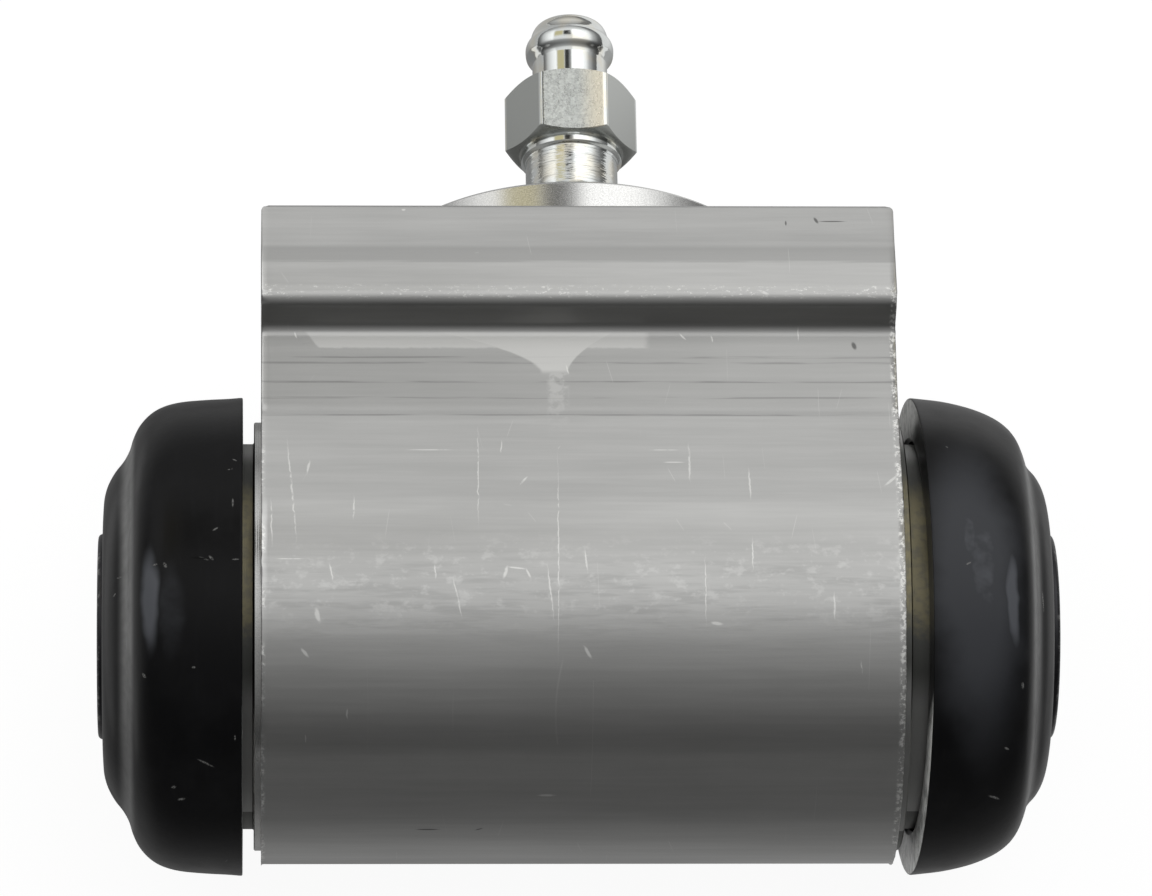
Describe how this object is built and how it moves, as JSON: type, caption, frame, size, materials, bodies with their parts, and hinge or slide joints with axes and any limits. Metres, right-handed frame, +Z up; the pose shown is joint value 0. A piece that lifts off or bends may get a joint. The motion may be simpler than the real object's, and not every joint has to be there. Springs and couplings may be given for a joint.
{
  "type": "wheel cylinder",
  "caption": "Drum-brake wheel cylinder: extruded aluminium housing with opposed pistons under rubber dust boots, a round locating spigot and a bleeder screw.",
  "frame": {"origin": "centre of the locating spigot, in the plane of the mounting face that bears on the backing plate", "axes": "+X along the cylinder bore, +Y the outward normal of the mounting face, +Z up as fitted, so the bleeder is above the inlet port"},
  "size_m": [0.0818, 0.0763, 0.041],
  "materials": {
    "housing_aluminium": "as extruded, satin, with draw lines and handling scratches",
    "piston_alloy": "dark anodised, satin",
    "boot_rubber": "moulded, satin",
    "seal_rubber": "moulded, matt",
    "zinc_steel": "zinc plated, bright",
    "spring_steel": "drawn wire"
  },
  "bodies": {
    "housing": {"housing": "housing_aluminium", "return_spring": "spring_steel", "left_dust_boot": "boot_rubber", "right_dust_boot": "boot_rubber"},
    "left_piston": {"left_piston": "piston_alloy", "left_cup_seal": "seal_rubber", "left_cup_expander": "zinc_steel"},
    "right_piston": {"right_piston": "piston_alloy", "right_cup_seal": "seal_rubber", "right_cup_expander": "zinc_steel"},
    "bleeder": {"bleeder_screw": "zinc_steel"}
  },
  "joints": [
    {"name": "left_piston_slide", "type": "slide", "parent": "housing", "child": "left_piston", "axis": [-1, 0, 0], "range_m": [-0.003, 0.007], "deforming": ["left_dust_boot", "return_spring"]},
    {"name": "right_piston_slide", "type": "slide", "parent": "housing", "child": "right_piston", "axis": [1, 0, 0], "range_m": [-0.003, 0.007], "deforming": ["right_dust_boot", "return_spring"]},
    {"name": "bleeder_turn", "type": "hinge", "parent": "housing", "child": "bleeder", "pos_m": [0, 0, 0.0075], "axis": [0, 1, 0], "range_deg": [0, 360]}
  ]
}
